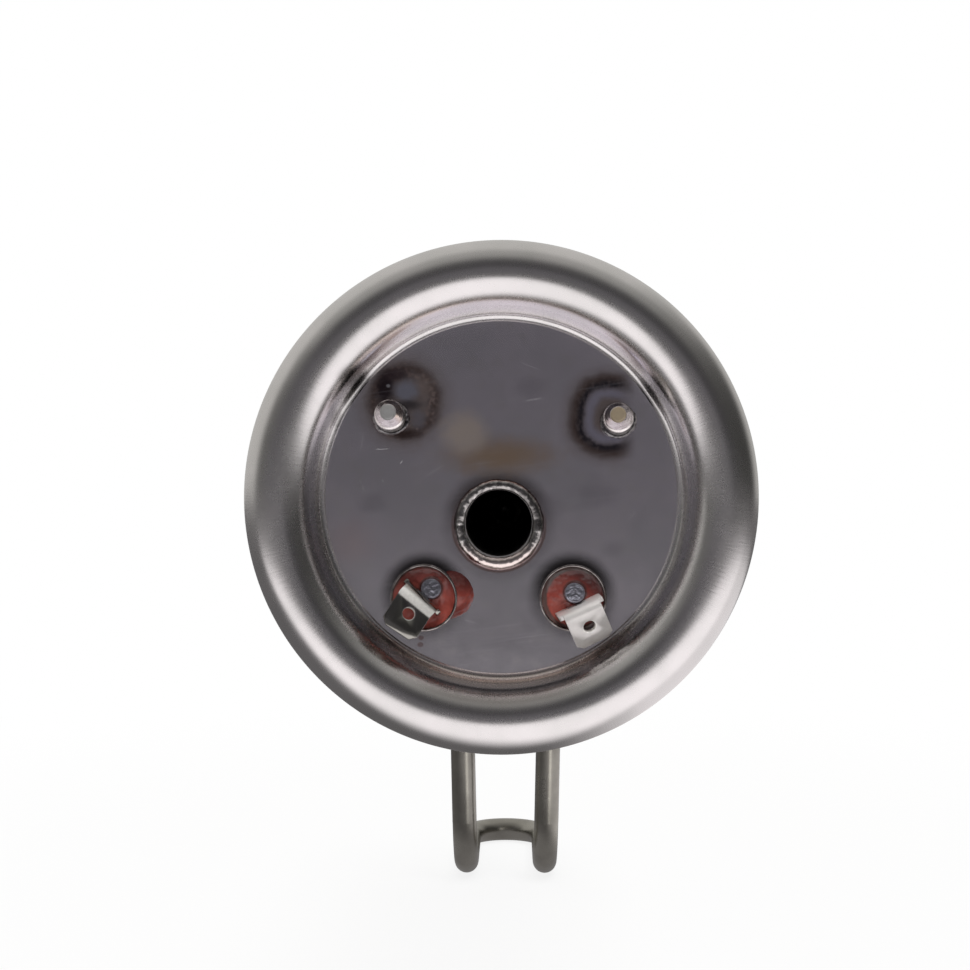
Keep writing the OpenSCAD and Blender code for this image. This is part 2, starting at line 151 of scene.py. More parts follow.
def sheet_of(name, columns, rows, place):
    """A grid of columns by rows whose points are put by place(u, v), u and v from 0 to 1."""
    bpy.ops.object.select_all(action="DESELECT")
    bpy.ops.mesh.primitive_grid_add(x_subdivisions=columns, y_subdivisions=rows, size=2)
    obj = bpy.context.object
    obj.name = obj.data.name = name
    for vertex in obj.data.vertices:
        vertex.co = Vector(place((vertex.co.x + 1) / 2, (vertex.co.y + 1) / 2)) * MM
    edit(obj, close_up)
    return obj


def along(points, v):
    """A point on the line through points, v from 0 to 1 along it."""
    lengths = [math.dist(a, b) for a, b in zip(points, points[1:])]
    left = v * sum(lengths)
    for a, b, length in zip(points, points[1:], lengths):
        if left <= length + 1e-9:
            break
        left -= length
    t = min(left / length, 1.0) if length else 0.0
    return a[0] + (b[0] - a[0]) * t, a[1] + (b[1] - a[1]) * t


def finish_piece(obj, material, *replaced, slot=None, angle=30):
    """Gives a piece its material, its place on the body and the CAD nodes it stands for."""
    obj.data.materials.clear()
    obj.data.materials.append(material)
    active(obj)
    bpy.ops.object.shade_smooth_by_angle(angle=math.radians(angle))
    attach(obj, "root")
    if replaced:
        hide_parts(*replaced)
    return obj


def dress(node, material):
    """Gives a CAD node a material."""
    obj = NODES[node]
    obj.data.materials.clear()
    obj.data.materials.append(material)


def ripple(point, size, seed=0.0):
    """Smooth noise from about -1 to 1 that changes over about size millimetres."""
    return noise.noise(Vector(point) / size + Vector((seed, seed * 1.7, seed * 0.3)))


def ease(value, start, end):
    """Goes smoothly from 0 at start to 1 at end."""
    t = min(max((value - start) / (end - start), 0.0), 1.0)
    return t * t * (3 - 2 * t)


# Materials

class Value:
    """A shader socket that takes part in Python arithmetic."""

    def __init__(self, tree, socket):
        self.tree, self.socket = tree, socket

    def math(self, operation, *others, clamp=False):
        return self.tree.node("ShaderNodeMath", dict(operation=operation, use_clamp=clamp), self, *others)[0]

    def __add__(self, other):
        return self.math("ADD", other)

    def __sub__(self, other):
        return self.math("SUBTRACT", other)

    def __rsub__(self, other):
        return self.tree.node("ShaderNodeMath", dict(operation="SUBTRACT"), other, self)[0]

    def __mul__(self, other):
        return self.math("MULTIPLY", other)

    def __truediv__(self, other):
        return self.math("DIVIDE", other)

    def __pow__(self, other):
        return self.math("POWER", other)

    def __abs__(self):
        return self.math("ABSOLUTE")

    __radd__, __rmul__ = __add__, __mul__

    def root(self):
        return self.math("SQRT")

    def top(self, other):
        return self.math("MAXIMUM", other)

    def low(self, other):
        return self.math("MINIMUM", other)

    def rise(self, start, end, low=0.0, high=1.0):
        """Goes smoothly from low at start to high at end."""
        return self.tree.node("ShaderNodeMapRange", dict(interpolation_type="SMOOTHSTEP"),
                              self, start, end, low, high)[0]


class Look:
    """One material: its shader, and the nodes that vary it."""

    def __init__(self, name, **constants):
        self.material = bpy.data.materials.new(name)
        self.material.use_nodes = True
        self.nodes = self.material.node_tree.nodes
        self.links = self.material.node_tree.links
        self.shader = self.nodes["Principled BSDF"]
        for key, constant in constants.items():
            self.shader.inputs[key.replace("_", " ")].default_value = constant

    def node(self, kind, settings=None, *inputs, **named):
        """Makes a node: its type, its settings first, then its sockets in order or by name."""
        made = self.nodes.new(kind)
        for key, setting in (settings or {}).items():
            setattr(made, key, setting)
        for index, given in list(enumerate(inputs)) + list(named.items()):
            self.feed(made.inputs[index], given)
        return [Value(self, socket) for socket in made.outputs if socket.enabled]

    def feed(self, socket, given):
        if isinstance(given, Value):
            self.links.new(given.socket, socket)
        elif given is not None:
            socket.default_value = given

    def place(self):
        """The object's own coordinates in millimetres: the vector, then x, y and z."""
        point = self.node("ShaderNodeTexCoord")[3]
        vector = self.node("ShaderNodeVectorMath", dict(operation="SCALE"), point, None, None, 1000.0)[0]
        return (vector, *self.node("ShaderNodeSeparateXYZ", None, vector)[:3])

    def join(self, x, y, z):
        """A vector of three numbers or values."""
        return self.node("ShaderNodeCombineXYZ", None, x, y, z)[0]

    def noise(self, vector, size, detail=3.0, rough=0.55):
        """Noise from 0 to 1 whose blotches are about size millimetres."""
        return self.node("ShaderNodeTexNoise", dict(noise_dimensions="3D"),
                         Vector=vector, Scale=1.0 / size, Detail=detail, Roughness=rough)[0]

    def mix(self, factor, a, b):
        """Mixes two colours."""
        made = self.nodes.new("ShaderNodeMix")
        made.data_type = "RGBA"
        for index, given in ((0, factor), (6, a), (7, b)):
            if isinstance(given, tuple):
                given = (*given, 1.0)
            self.feed(made.inputs[index], given)
        return Value(self, made.outputs[2])

    def far(self, x, z, at, size=(1.0, 1.0)):
        """Distance from a place across and up, as a share of size."""
        return (((x - at[0]) / size[0]) ** 2.0 + ((z - at[1]) / size[1]) ** 2.0).root()

    def spot(self, x, z, at, size, wobble=0.0, soft=0.45):
        """1 at a place across and up, falling to 0 at the edge of an oval of that size."""
        return (self.far(x, z, at, size) + wobble).rise(1.0, 1.0 - soft)

    def band(self, value, middle, width):
        """1 where value is middle, falling to 0 on both sides over width."""
        return abs(value - middle).rise(width, 0.0)

    def line(self, x, z, start, end, width):
        """1 along a straight scratch from start to end, across and up."""
        run = (end[0] - start[0], end[1] - start[1])
        length = math.hypot(*run)
        unit = (run[0] / length, run[1] / length)
        on = (x - start[0]) * unit[0] + (z - start[1]) * unit[1]
        off = abs((x - start[0]) * unit[1] - (z - start[1]) * unit[0])
        return off.rise(width, width * 0.3) * abs(on - length / 2).rise(length / 2, length * 0.3)

    def bump(self, height, strength, distance):
        """distance in millimetres is the height of a change from 0 to 1."""
        made = self.node("ShaderNodeBump", None, Strength=strength, Distance=distance * MM, Height=height)
        self.feed(self.shader.inputs["Normal"], made[0])

    def set(self, **sockets):
        for key, given in sockets.items():
            self.feed(self.shader.inputs[key.replace("_", " ")], given)
        return self.material


def flange_steel():
    look = Look("pressed_stainless", Metallic=1.0)
    p, x, y, z = look.place()
    r = (x * x + z * z).root()
    fine = look.noise(p, 0.35, 2.0)
    medium = look.noise(p, 2.6, 4.0)
    large = look.noise(p, 12.0, 3.0)
    wobble = (medium - 0.5) * 0.5
    on_disc = r.rise(29.0, 28.4) * y.rise(5.0, 8.0)
    on_dry = y.rise(WET_Y - 0.2, WET_Y - 0.6)
    # the drawn steel's grain runs outwards on the rolls
    grain = look.noise(look.join(x / r * 110.0, z / r * 110.0, r * 0.28), 1.0, 3.0, 0.6)
    rolled = look.mix(large.rise(0.35, 0.65), (0.80, 0.775, 0.765), (0.73, 0.715, 0.70))
    for at, size, tone in (((-23.6, 19.2), (3.6, 2.2), 0.75), ((-26.6, 12.6), (1.2, 3.0), 0.45), ((5.4, -30.6), (1.3, 0.8), 0.7),
                           ((7.2, -30.2), (0.8, 0.5), 0.7), ((-2.3, -31.0), (1.5, 1.0), 0.8)):
        rolled = look.mix(look.spot(x, z, at, size, wobble, 0.8) * y.rise(-1.0, 1.5) * tone, rolled, (0.17, 0.165, 0.16))
    rolled = look.mix(z.rise(-19.0, -29.0) * y.rise(1.5, 4.5) * 0.7, rolled, (0.84, 0.72, 0.66))
    # the lowest part of the dish carries a dull film, with a band of painted shade above it, where the dish's upper
    # wall would shade the roll
    lowest = z.rise(-20.0, -27.0) * abs(x).rise(20.0, 7.0) * r.rise(34.4, 33.2)
    rolled = look.mix(lowest * y.rise(-0.9, 0.1) * y.rise(4.2, 2.6) * 0.8, rolled, (0.40, 0.37, 0.355))
    film = lowest * y.rise(2.4, 3.6) * y.rise(7.4, 5.6) * 0.13
    flat = look.mix(large.rise(0.35, 0.65), (0.74, 0.70, 0.755), (0.68, 0.655, 0.70))
    flat = look.mix(z.rise(-13.0, -25.0) * 0.85, flat, (0.50, 0.48, 0.515))
    flat = look.mix(medium.rise(0.50, 0.75) * 0.30, flat, (0.58, 0.56, 0.55))
    # heat tint beside the left stud: mottled brown inside a dark ring that is blackest at its upper left
    mottle = look.noise(p, 0.9, 4.0, 0.7)
    stray = wobble + (mottle - 0.5) * 0.45
    left = look.far(x, z, (-15.7, 15.6), (5.3, 5.6)) + stray * 0.45
    flat = look.mix(left.rise(1.75, 0.9) * 0.55, flat, (0.42, 0.335, 0.285))
    flat = look.mix(left.rise(1.15, 0.75) * (0.35 + mottle * 0.45), flat, (0.30, 0.245, 0.225))
    flat = look.mix(look.band(left, 0.98, 0.34) * (0.15 + mottle * 1.1), flat, (0.15, 0.092, 0.072))
    flecks = look.noise(p, 0.7, 3.0, 0.7).rise(0.50, 0.60)
    flat = look.mix(look.band(left, 0.84, 0.46) * flecks * 0.8, flat, (0.55, 0.43, 0.39))
    flat = look.mix(look.spot(x, z, (-12.4, 18.0), (2.2, 3.0), stray, 0.8) * 0.6, flat, (0.56, 0.45, 0.40))
    flat = look.mix(look.spot(x, z, (-18.9, 17.7), (2.8, 4.2), stray, 0.8) * 0.95, flat, (0.050, 0.034, 0.042))
    flat = look.mix(look.spot(x, z, (-16.9, 19.9), (3.0, 1.9), stray, 0.8) * 0.8, flat, (0.09, 0.06, 0.07))
    flat = look.mix(look.spot(x, z, (-15.4, 17.3), (2.9, 2.4), stray, 0.7) * 0.95, flat, (0.52, 0.53, 0.62))
    flat = look.mix(look.spot(x, z, (-15.0, 15.0), (3.0, 1.2), stray, 0.8) * 0.8, flat, (0.11, 0.10, 0.105))
    flat = look.mix(look.spot(x, z, (-13.4, 12.6), (1.5, 2.2), stray, 0.8) * 0.6, flat, (0.42, 0.41, 0.47))
    flat = look.mix(look.spot(x, z, (-15.4, 10.2), (3.2, 1.2), stray, 0.8) * 0.8, flat, (0.10, 0.065, 0.06))
    flat = look.mix(look.spot(x, z, (-18.35, 18.1), (0.42, 0.36)) * 0.5, flat, (0.95, 0.95, 0.98))
    # heat tint round the right stud: squarish, black and blue inside a brown halo, open on its right
    across, up = abs((x - 18.2) / 5.1), abs((z - 13.2) / 5.0)
    right = (across ** 2.6 + up ** 2.6) ** (1 / 2.6) + stray * 0.30 + (large - 0.5) * 0.5
    closed = x.rise(22.2, 18.4)
    flat = look.mix(right.rise(1.8, 0.95) * closed * 0.72, flat, (0.32, 0.235, 0.185))
    flat = look.mix(look.band(right, 1.16, 0.34) * closed * (0.45 + mottle * 0.6), flat, (0.13, 0.078, 0.060))
    flat = look.mix(look.band(right, 0.97, 0.26) * closed * (0.60 + mottle * 0.6), flat, (0.045, 0.044, 0.060))
    flat = look.mix(look.band(right, 1.05, 0.5) * closed * flecks * 0.35, flat, (0.34, 0.28, 0.27))
    flat = look.mix(look.band(right, 0.68, 0.28) * closed * 0.95, flat, (0.60, 0.58, 0.70))
    # brown line round the pocket's weld, and a dark halo round it: heat tint all round, with painted shadow that makes
    # it heaviest above
    bead = look.far(x, z, (POCKET_X, POCKET_Z - BEAD_SAG)) + stray * 0.3
    above = z.rise(POCKET_Z - 3.0, POCKET_Z + 5.0)
    flat = look.mix(bead.rise(10.2, 7.0) * (0.30 + above * 0.62), flat, (0.15, 0.125, 0.125))
    flat = look.mix(look.band(bead, 7.55, 0.35) * (1.0 - above) * 0.7, flat, (0.30, 0.15, 0.11))
    # painted shade and painted reflection round each sleeve, where the sleeve darkens the disc beside it, heaviest
    # above it
    for side in (LEFT, RIGHT):
        round_it = look.far(x, z, (HAIRPIN_X + side * END_HALF, RUN_Z)) + stray * 0.3
        over = z.rise(RUN_Z - 4.0, RUN_Z + 5.0)
        flat = look.mix(round_it.rise(8.0, 5.4) * (0.38 + over * 0.55), flat, (0.045, 0.040, 0.038))
    # warm stain where such flanges carry their rating, and a painted warm sheen beside it
    flat = look.mix(look.spot(x, z, (-0.5, 6.6), (13.6, 4.6), stray, 0.95) * (0.75 + mottle * 0.4), flat, (0.66, 0.49, 0.345))
    flat = look.mix(look.spot(x, z, (-6.0, 10.4), (5.2, 4.8), stray * 0.8, 0.75), flat, (1.0, 0.88, 0.77))
    # broad clouds of grime and a pinkish bloom at the left
    flat = look.mix(look.spot(x, z, (-24.5, -7.5), (6.0, 6.0), stray, 0.9) * 0.5, flat, (0.80, 0.66, 0.68))
    for at, size in (((15.5, 0.6), 5.0), ((8.0, -1.6), 4.2), ((18.4, -8.4), 3.0), ((5.0, 18.0), 4.0), ((-21.0, -1.0), 3.4)):
        flat = look.mix(look.spot(x, z, at, (size, size * 0.7), stray, 0.9) * 0.38, flat, (0.46, 0.44, 0.48))
    # small stains and marks
    for at, size in (((-13.0, -22.9), 0.55), ((-13.1, -24.0), 0.6), ((-2.6, -31.2), 0.9), ((9.4, -27.9), 0.5)):
        flat = look.mix(look.spot(x, z, at, (size, size * 0.8), wobble) * 0.6, flat, (0.24, 0.13, 0.12))
    hair = look.noise(look.join(x * 0.10 + z * 0.04, y, z * 3.5 - x * 0.5), 1.0, 2.0).rise(0.58, 0.74)
    flat = look.mix(hair * 0.16, flat, (0.90, 0.88, 0.92))
    dull = medium * 0.0
    for start, end, pale in (((-20.6, 7.75), (-18.1, 7.85), 0.42), ((-16.4, 5.4), (-16.0, 6.0), 0.45),
                             ((3.8, 15.6), (6.8, 16.1), 0.28), ((-19.3, 2.9), (-19.2, 2.3), 0.30),
                             ((20.5, -4.0), (22.0, -2.2), 0.14), ((-23.0, 3.0), (-22.2, 0.8), 0.14),
                             ((-6.0, -20.0), (-3.8, -20.5), 0.16), ((-12.8, 3.0), (-9.0, 5.4), 0.10),
                             ((-22.4, 10.6), (-23.0, 6.6), 0.12), ((3.0, 22.0), (6.4, 20.6), 0.10)):
        dull = dull + look.line(x, z, start, end, 0.12) * pale
    colour = look.mix(on_disc * on_dry, rolled, flat)
    # pits and a fine dirt on the rim
    pits = look.noise(p, 0.9, 2.0).rise(0.76, 0.82)
    colour = look.mix(pits * 0.35 * (1.0 - on_disc), colour, (0.30, 0.28, 0.27))
    rough = 0.27 + (fine - 0.5) * 0.03 + (medium - 0.5) * 0.08 - on_disc * 0.05
    look.bump(fine * 0.05 + medium * 0.12 * (1.0 - on_disc * 0.6) + grain * (1.0 - on_disc) * 0.4, 0.35, 0.05)
    dull = dull * on_disc * on_dry
    colour = look.mix(dull, colour, (0.90, 0.90, 0.92))
    return look.set(Base_Color=colour, Roughness=rough, Metallic=1.0 - dull * 0.75 - film * on_dry)


def tube_steel():
    look = Look("oxidised_tube", Metallic=1.0)
    p, x, y, z = look.place()
    grain = look.noise(p, 0.5, 3.0)
    patch = look.noise(p, 9.0, 4.0)
    colour = look.mix(patch.rise(0.3, 0.7), (0.44, 0.425, 0.38), (0.35, 0.335, 0.30))
    colour = look.mix(grain.rise(0.55, 0.8) * 0.3, colour, (0.58, 0.56, 0.51))
    look.bump(grain, 0.25, 0.03)
    return look.set(Base_Color=colour, Roughness=0.30 + (patch - 0.5) * 0.15 + (grain - 0.5) * 0.08)


def plain_steel(name, colour, other, rough, size=2.0, bumpy=0.2):
    look = Look(name, Metallic=1.0)
    p, x, y, z = look.place()
    grain = look.noise(p, 0.3, 2.0)
    patch = look.noise(p, size, 4.0)
    look.bump(grain * 0.6 + patch * 0.4, bumpy, 0.04)
    return look.set(Base_Color=look.mix(patch.rise(0.35, 0.65), colour, other),
                    Roughness=rough + (patch - 0.5) * 0.2 + (grain - 0.5) * 0.08)


def pocket_weld_metal():
    """Grey mottled weld metal, with a painted pinkish reflection of the floor on its lower side."""
    look = Look("pocket_weld_metal", Metallic=1.0)
    p, x, y, z = look.place()
    patch = look.noise(p, 1.1, 4.0, 0.65)
    # painted reflection: the lower side of the bead is coloured pale pink for the bright floor it mirrors
    below = z.rise(POCKET_Z - 2.5, POCKET_Z - 6.0)
    colour = look.mix(patch.rise(0.35, 0.65), (0.50, 0.48, 0.465), (0.22, 0.21, 0.205))
    colour = look.mix(look.noise(p, 0.8, 2.0).rise(0.62, 0.70) * x.rise(2.0, -4.0), colour, (0.80, 0.78, 0.76))
    colour = look.mix(below, colour, (0.88, 0.77, 0.73))
    colour = look.mix(look.far(x, z, (POCKET_X, POCKET_Z - BEAD_SAG)).rise(7.0, 7.45), colour, (0.26, 0.15, 0.12))
    look.bump(patch * 0.5 + look.noise(p, 0.45, 2.0) * 0.5, 0.8, 0.08)
    return look.set(Base_Color=colour, Roughness=0.24 + (patch - 0.5) * 0.25)


def stud_steel():
    """Threaded steel whose right tip is tanned by heat, with painted shade on the threaded part near the disc."""
    look = Look("stud_steel", Metallic=1.0)
    p, x, y, z = look.place()
    patch = look.noise(p, 1.0, 4.0)
    colour = look.mix(patch.rise(0.35, 0.65), (0.86, 0.82, 0.80), (0.72, 0.68, 0.66))
    # painted shade: the threaded part near the disc is darkened to stand for the shade in its grooves
    thread = y.rise(DISC_Y - 4.5, DISC_Y - 4.0)
    colour = look.mix(thread * (0.75 + patch * 0.4), colour, (0.13, 0.125, 0.12))
    tip = y.rise(DISC_Y - 6.95, DISC_Y - 7.15)
    worn = look.mix(x.rise(-1.0, 1.0), (0.42, 0.42, 0.42), (0.46, 0.37, 0.25))
    colour = look.mix(tip, colour, look.mix(patch * 0.5, worn, (0.16, 0.14, 0.12)))
    look.bump(look.noise(p, 0.3, 2.0) * 0.6 + patch * 0.4, 0.3, 0.04)
    return look.set(Base_Color=colour, Roughness=0.24 + (patch - 0.5) * 0.2 + tip * 0.15, Metallic=1.0 - tip * 0.6)


def silicone_look():
    """Brick red silicone with painted shade under the upper rim, at its upper right, on the top of the run-over and
    round the pin, and a dark band where it leaves the sleeve.
    """
    look = Look("red_silicone", Coat_Roughness=0.16)
    p, x, y, z = look.place()
    patch = look.noise(p, 1.6, 3.0)
    grain = look.noise(p, 0.4, 2.0)
    colour = look.mix(patch.rise(0.35, 0.7), (0.34, 0.070, 0.052), (0.26, 0.044, 0.033))
    outside = look.far(x, z, (HAIRPIN_X - END_HALF, RUN_Z)).rise(5.35, 5.45) * x.rise(0.0, -2.0)
    # painted shade: the silicone is darker towards the top, where the sleeve's upper wall shades it
    colour = look.mix(z.rise(RUN_Z - 0.5, RUN_Z + 4.0) * 0.7, colour, (0.12, 0.030, 0.026))
    # painted shade on the upper part of the run-over outside the left sleeve
    colour = look.mix(z.rise(RUN_Z - 1.0, RUN_Z + 3.0) * outside, colour, (0.055, 0.008, 0.006))
    # painted shade at the upper right of the right seal
    corner = ((x - 11.6) * 0.7 + (z - RUN_Z) * 0.7).rise(1.2, 3.8) * x.rise(0.0, 2.0)
    colour = look.mix(corner * 0.75, colour, (0.055, 0.012, 0.011))
    # in each seal: a dark band along the sleeve wall, and painted shade in the gap round the pin
    for side, shift_x, inner in ((LEFT, 0.05, 4.75), (RIGHT, 0.35, 4.35)):
        inside = look.far(x, z, (HAIRPIN_X + side * END_HALF, RUN_Z)).rise(5.2, 5.1)
        edge = look.far(x, z, (HAIRPIN_X + side * END_HALF + shift_x, RUN_Z - 0.1)) + (patch - 0.5) * 0.5
        colour = look.mix(edge.rise(inner, inner + 0.35) * inside * 0.9, colour, (0.075, 0.058, 0.052))
        pin = look.far(x, z, PIN_ENDS[side])
        colour = look.mix(pin.rise(2.15, 1.75) * 0.85, colour, (0.035, 0.020, 0.020))
    look.bump(patch * 0.8 + grain * 0.2, 0.35, 0.14)
    return look.set(Base_Color=colour, Roughness=0.40 + (grain - 0.5) * 0.2, Coat_Weight=0.34 + (patch - 0.5) * 0.3)


def tab_steel(name, colour, rough, hole, toward, metal=1.0, fold=None):
    """Steel strip with a painted highlight ring round its hole and in its bore, and a painted highlight band across
    the fold; toward points from the hole to the fold.
    """
    look = Look(name)
    p, x, y, z = look.place()
    patch = look.noise(p, 1.6, 4.0)
    grain = look.noise(p, 0.3, 2.0)
    away = look.node("ShaderNodeVectorMath", dict(operation="DISTANCE"), p, hole)[-1]
    base = look.mix(patch.rise(0.3, 0.7) * 0.4, colour, tuple(c * 0.8 for c in colour))
    fold_highlight = patch * 0.0
    # painted highlight: a bright, less metallic band across the fold, standing for the light the bend reflects
    if fold:
        on = sum(((at - h) * t for at, h, t in zip((x, y, z), hole, toward)), patch * 0.15)
        fold_highlight = on.rise(fold[0], fold[0] + 0.5) * on.rise(fold[1] + 0.9, fold[1]) * (0.75 + grain * 0.3)
        base = look.mix(fold_highlight, base, (0.86, 0.84, 0.80))
    # painted highlight: a bright ring round the hole and a bright, dull bore, standing for the light the hole's wall
    # reflects
    base = look.mix(look.band(away, 1.14, 0.17) * 0.9, base, (0.97, 0.95, 0.90))
    bore = away.rise(1.10, 1.06)
    base = look.mix(bore, base, (0.95, 0.93, 0.88))
    look.bump(grain * 0.5 + patch * 0.5, 0.08, 0.04)
    return look.set(Base_Color=base, Metallic=(metal - fold_highlight * 0.66) * (1.0 - bore * 0.7),
                    Roughness=rough + (patch - 0.5) * 0.08 + (grain - 0.5) * 0.05 + fold_highlight * 0.1)


def powder_look():
    look = Look("packed_magnesia", Metallic=0.0)
    p, x, y, z = look.place()
    grain = look.noise(p, 0.3, 3.0)
    look.bump(grain, 0.5, 0.1)
    return look.set(Base_Color=look.mix(grain, (0.80, 0.78, 0.74), (0.88, 0.86, 0.82)), Roughness=0.9 + grain * 0.05)


STEEL = flange_steel()
TUBE = tube_steel()
WELD = plain_steel("weld_metal", (0.62, 0.57, 0.55), (0.46, 0.40, 0.37), 0.26, 1.2, 0.5)
POCKET_WELD = pocket_weld_metal()
# painted shade: the stud flash is coloured dark to stand for the shade round each stud's foot
FLASH = plain_steel("flash_metal", (0.30, 0.29, 0.29), (0.10, 0.095, 0.10), 0.30, 0.8, 0.5)
SLEEVE = plain_steel("sleeve_steel", (0.52, 0.48, 0.46), (0.22, 0.20, 0.19), 0.22, 1.4)
# Both tabs are one steel: the left one's dark colour is painted shade and the right one's pale, mostly dull finish is
# a painted highlight, standing for what each blade reflects
TAB = {LEFT: tab_steel("tab_steel_left", (0.40, 0.39, 0.355), 0.15, (-14.54, 1.17, -18.42), (0.587, 0.350, 0.730),
                       fold=(1.35, 2.8)),
       RIGHT: tab_steel("tab_steel_right", (0.80, 0.765, 0.745), 0.24, (14.0, 3.43, -20.35), (-0.356, -0.464, 0.811), 0.32)}
STUD = stud_steel()
PIN = plain_steel("pin_steel", (0.60, 0.61, 0.69), (0.40, 0.40, 0.46), 0.40, 0.9, 0.24)
POCKET_STEEL = plain_steel("pocket_steel", (0.50, 0.485, 0.47), (0.40, 0.39, 0.375), 0.32, 6.0)
COIL = plain_steel("coil_wire", (0.32, 0.29, 0.26), (0.24, 0.22, 0.20), 0.5, 2.0)
SILICONE = silicone_look()
POWDER = powder_look()

for cad_node, cad_material in {
    "thermostat_pocket": POCKET_STEEL, "heating_sheath": TUBE, "magnesia_core": POWDER, "resistance_coil": COIL,
    "cold_pin_left": PIN, "cold_pin_right": PIN, "end_sleeve_left": SLEEVE, "end_sleeve_right": SLEEVE,
    "sleeve_weld_left": WELD, "sleeve_weld_right": WELD, "silicone_seal_left": SILICONE,
    "silicone_seal_right": SILICONE, "silicone_spill": SILICONE, "tab_left": TAB[LEFT], "tab_right": TAB[RIGHT],
    "stud_left": STUD, "stud_right": STUD, "stud_weld_left": FLASH, "stud_weld_right": FLASH,
    "pocket_weld": POCKET_WELD, "flange_plate": STEEL,
}.items():
    dress(cad_node, cad_material)


# Flange

def flange_section():
    """The pressed sheet's section as (radius, depth), once round it."""
    fillet_y = DISC_Y - STEP - FILLET
    roll_y = CREST_Y + INNER_ROLL
    across, deep = CREST_R - DISC_R, fillet_y - roll_y
    draft = math.degrees(math.acos(min((INNER_ROLL + FILLET) / math.hypot(across, deep), 1.0))
                         - math.atan2(deep, across)) if deep else 0.0
    draft = max(draft, 0.0)
    dry = [(0.0, DISC_Y)] + [(DISC_R * i / 24, DISC_Y) for i in range(1, 24)]
    dry += [(DISC_R - STEP, DISC_Y), (DISC_R, DISC_Y - STEP)]
    dry += arc(DISC_R, fillet_y, FILLET, 90, draft, 12)[1:]
    dry += arc(CREST_R, roll_y, INNER_ROLL, 180 + draft, 270, 22)
    dry += arc(CREST_R, CREST_Y + OUTER_ROLL, OUTER_ROLL, 270, 360, 24)[1:]
    lip = CREST_Y + RIM_HEIGHT
    dry += [(RIM_R, lip - 0.25), (RIM_R - 0.25, lip)]
    wet = [(RIM_R - SHEET + 0.2, lip), (RIM_R - SHEET, lip - 0.2)]
    wet += arc(CREST_R, CREST_Y + OUTER_ROLL, OUTER_ROLL - SHEET, 360, 270, 16)
    wet += arc(CREST_R, roll_y, INNER_ROLL - SHEET, 270, 180 + draft, 12)[1:]
    wet += arc(DISC_R, fillet_y, FILLET + SHEET, draft, 90, 12)
    wet += [(DISC_R - STEP, WET_Y), (0.0, WET_Y)]
    return dry + wet


flange = lathe("flange_plate_spun", flange_section(), 240)
cut(flange, POCKET_R, 60, (POCKET_X, 0, POCKET_Z))
for side in SIDES:
    cut(flange, SLEEVE_R, 60, (HAIRPIN_X + side * END_HALF, 0, RUN_Z))
finish_piece(flange, STEEL, "flange_plate", slot="flange_steel", angle=35)


# Welds and studs

def lumpy_ring(name, radius, size, place, bumpy=0.2, seed=0.0, columns=144, rows=18):
    """A ring of weld metal with ripples; size may depend on the turn round it in radians."""
    def point(u, v):
        turn, round_it = 2 * math.pi * u, 2 * math.pi * v
        spot = (radius * math.cos(turn), radius * math.sin(turn), math.sin(round_it))
        thick = size(turn) if callable(size) else size
        thick *= 1 + bumpy * (ripple(spot, 1.3, seed) + 0.5 * ripple(spot, 0.5, seed + 7))
        out = radius + thick * math.cos(round_it)
        return place(out * math.cos(turn), out * math.sin(turn), thick * math.sin(round_it))
    return sheet_of(name, columns, rows, point)


def on_disc(x, z, keep=None):
    """Puts a shape drawn upward on the disc's dry face, points nearer the pocket than keep moved out."""
    def place(across, up, height):
        across, up = x + across, z + up
        if keep:
            far = math.hypot(across - POCKET_X, up - POCKET_Z)
            grow = max(keep / far, 1.0)
            across, up = POCKET_X + (across - POCKET_X) * grow, POCKET_Z + (up - POCKET_Z) * grow
        return across, DISC_Y - height, up
    return place


bead = lumpy_ring("pocket_bead", POCKET_R + 0.35, lambda turn: 1.0 + 0.10 * ease(-math.sin(turn), 0.5, 1.0),
                  on_disc(POCKET_X, POCKET_Z - BEAD_SAG * 0.7, POCKET_BORE + 0.05), 0.13, 3.0, 240, 24)
finish_piece(bead, POCKET_WELD, "pocket_weld", angle=60)


def shift(x, y, z):
    return Matrix.Translation((x, y, z))


def turned(axis, degrees):
    return Matrix.Rotation(math.radians(degrees), 4, axis)


def stud_frame(side):
    x, z, right, upward = STUDS[side]
    return shift(x, DISC_Y, z) @ turned("Z", right) @ turned("X", 90 - upward)


def stud_point(side):
    """The stud's skin: plain neck, cut thread that runs out on the taper, and a crowned tip."""
    top = STUD_THREAD + STUD_POINT
    frame_of = stud_frame(side)
    section = [(0.0, -0.7), (NECK_R, -0.7), (NECK_R, NECK_TOP - 0.15), (STUD_R, NECK_TOP + 0.15),
               (STUD_R, STUD_THREAD), (STUD_TIP_R + 0.12, top - 0.25), (STUD_TIP_R - 0.10, top - 0.02),
               (STUD_TIP_R * 0.5, top + 0.02), (0.0, top)]

    def place(u, v):
        turn = 2 * math.pi * u
        r, height = along(section, v)
        phase = (height / 0.8 + u) % 1.0
        groove = max(0.0, 1.0 - abs(phase - 0.5) * 2.6)
        depth = 0.40 * ease(height, NECK_TOP, NECK_TOP + 0.5) * ease(height, STUD_THREAD + 1.1, STUD_THREAD - 0.1)
        rough = 0.02 * ripple((r * math.cos(turn), r * math.sin(turn), height), 0.5, side)
        dent = 0.10 * ripple((math.cos(turn), math.sin(turn), height), 1.1, side + 5.0) * ease(height, top - 1.2, top)
        r = max(r - depth * groove + (rough + dent) * min(r, 1.0), 0.0)
        return frame_of @ Vector((r * math.cos(turn), r * math.sin(turn), height))
    return place


